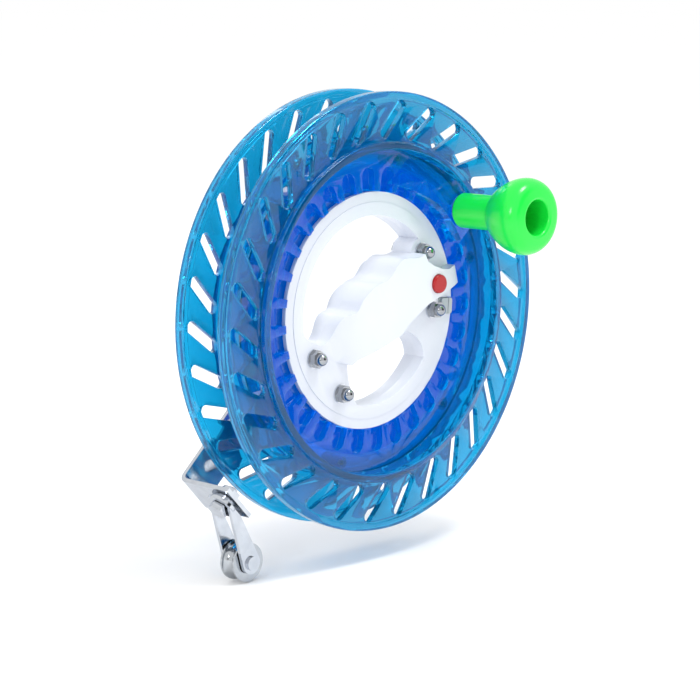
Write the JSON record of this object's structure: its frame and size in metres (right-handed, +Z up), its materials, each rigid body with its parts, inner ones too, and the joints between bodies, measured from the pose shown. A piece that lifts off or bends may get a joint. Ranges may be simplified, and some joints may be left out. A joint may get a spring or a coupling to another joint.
{
  "type": "kite line reel",
  "caption": "Hand-held line reel: slotted blue spool on ball bearings about a white grip, with crank knob, brake button, lock slider and swivelling line guide.",
  "frame": {"origin": "on the spool axis, midway between the flanges, at the centre of the hand grip", "axes": "+Y along the spool axis away from the crank side, +Z up as held, +X to the right seen from the crank side"},
  "size_m": [0.2, 0.0888, 0.2145],
  "materials": {
    "blue_plastic": "clear blue, glossy",
    "white_abs": "glossy moulded",
    "green_plastic": "glossy moulded",
    "red_plastic": "glossy moulded",
    "grey_plastic": "satin",
    "zinc_screw": "zinc plated",
    "chrome_steel": "polished plate",
    "bearing_steel": "ground",
    "spring_steel": "bright drawn",
    "pulley_steel": "turned"
  },
  "bodies": {
    "handle": {"handle_front_cover": "white_abs", "handle_rear_cover": "white_abs", "through_bolts": "chrome_steel", "bolt_washers": "chrome_steel", "acorn_nuts": "chrome_steel", "bearing_inner_rings": "bearing_steel", "button_spring": "spring_steel", "guide_bracket": "chrome_steel", "swivel_bolt": "chrome_steel", "swivel_nut": "chrome_steel", "swivel_washer": "chrome_steel"},
    "spool": {"front_flange": "blue_plastic", "rear_flange": "blue_plastic", "bearing_rail": "blue_plastic", "line_eye": "zinc_screw", "spool_screws": "zinc_screw", "knob_axle": "zinc_screw", "knob_washers": "zinc_screw", "knob_nut": "zinc_screw"},
    "knob": {"knob": "green_plastic"},
    "button": {"red_button": "red_plastic", "brake_shoe": "grey_plastic"},
    "lock": {"lock_slider": "grey_plastic"},
    "fork": {"guide_fork": "chrome_steel", "pulley_axle": "chrome_steel"},
    "pulley": {"guide_pulley": "pulley_steel"},
    "bearing_ring_1": {"bearing_outer_ring_1": "bearing_steel"},
    "ball_set_1": {"bearing_balls_1": "bearing_steel"},
    "bearing_ring_2": {"bearing_outer_ring_2": "bearing_steel"},
    "ball_set_2": {"bearing_balls_2": "bearing_steel"},
    "bearing_ring_3": {"bearing_outer_ring_3": "bearing_steel"},
    "ball_set_3": {"bearing_balls_3": "bearing_steel"},
    "bearing_ring_4": {"bearing_outer_ring_4": "bearing_steel"},
    "ball_set_4": {"bearing_balls_4": "bearing_steel"}
  },
  "joints": [
    {"name": "spool_spin", "type": "hinge", "parent": "handle", "child": "spool", "pos_m": [0, 0, 0], "axis": [0, 1, 0], "continuous": true},
    {"name": "knob_spin", "type": "hinge", "parent": "spool", "child": "knob", "pos_m": [0.05094, -0.04, 0.04274], "axis": [0, 1, 0], "continuous": true},
    {"name": "button_press", "type": "slide", "parent": "handle", "child": "button", "axis": [0, 1, 0], "range_m": [0, 0.0022], "stiffness_N_per_m": 400, "springref_m": -0.003, "deforming": ["button_spring"]},
    {"name": "lock_slide", "type": "slide", "parent": "handle", "child": "lock", "axis": [0.9983, 0, -0.0576], "range_m": [0, 0.006]},
    {"name": "guide_swivel", "type": "hinge", "parent": "handle", "child": "fork", "pos_m": [-0.08191, 0.004, -0.07638], "axis": [-0.7314, 0, -0.682], "continuous": true},
    {"name": "pulley_spin", "type": "hinge", "parent": "fork", "child": "pulley", "pos_m": [-0.07232, 0.004, -0.10573], "axis": [0, 1, 0], "continuous": true},
    {"name": "ring_1_spin", "type": "hinge", "parent": "handle", "child": "bearing_ring_1", "pos_m": [0.03317, 0, 0.0241], "axis": [0, 1, 0], "continuous": true},
    {"name": "balls_1_orbit", "type": "hinge", "parent": "handle", "child": "ball_set_1", "pos_m": [0.03317, 0, 0.0241], "axis": [0, 1, 0], "continuous": true},
    {"name": "ring_2_spin", "type": "hinge", "parent": "handle", "child": "bearing_ring_2", "pos_m": [0.04084, 0, -0.00357], "axis": [0, 1, 0], "continuous": true},
    {"name": "balls_2_orbit", "type": "hinge", "parent": "handle", "child": "ball_set_2", "pos_m": [0.04084, 0, -0.00357], "axis": [0, 1, 0], "continuous": true},
    {"name": "ring_3_spin", "type": "hinge", "parent": "handle", "child": "bearing_ring_3", "pos_m": [-0.03701, 0, -0.01765], "axis": [0, 1, 0], "continuous": true},
    {"name": "balls_3_orbit", "type": "hinge", "parent": "handle", "child": "ball_set_3", "pos_m": [-0.03701, 0, -0.01765], "axis": [0, 1, 0], "continuous": true},
    {"name": "ring_4_spin", "type": "hinge", "parent": "handle", "child": "bearing_ring_4", "pos_m": [-0.02019, 0, -0.03569], "axis": [0, 1, 0], "continuous": true},
    {"name": "balls_4_orbit", "type": "hinge", "parent": "handle", "child": "ball_set_4", "pos_m": [-0.02019, 0, -0.03569], "axis": [0, 1, 0], "continuous": true}
  ],
  "couplings": [
    {"joint": "ring_1_spin", "follows": "spool_spin", "ratio": 10.178},
    {"joint": "balls_1_orbit", "follows": "spool_spin", "ratio": 5.937},
    {"joint": "ring_2_spin", "follows": "spool_spin", "ratio": 10.178},
    {"joint": "balls_2_orbit", "follows": "spool_spin", "ratio": 5.937},
    {"joint": "ring_3_spin", "follows": "spool_spin", "ratio": 10.178},
    {"joint": "balls_3_orbit", "follows": "spool_spin", "ratio": 5.937},
    {"joint": "ring_4_spin", "follows": "spool_spin", "ratio": 10.178},
    {"joint": "balls_4_orbit", "follows": "spool_spin", "ratio": 5.937}
  ]
}
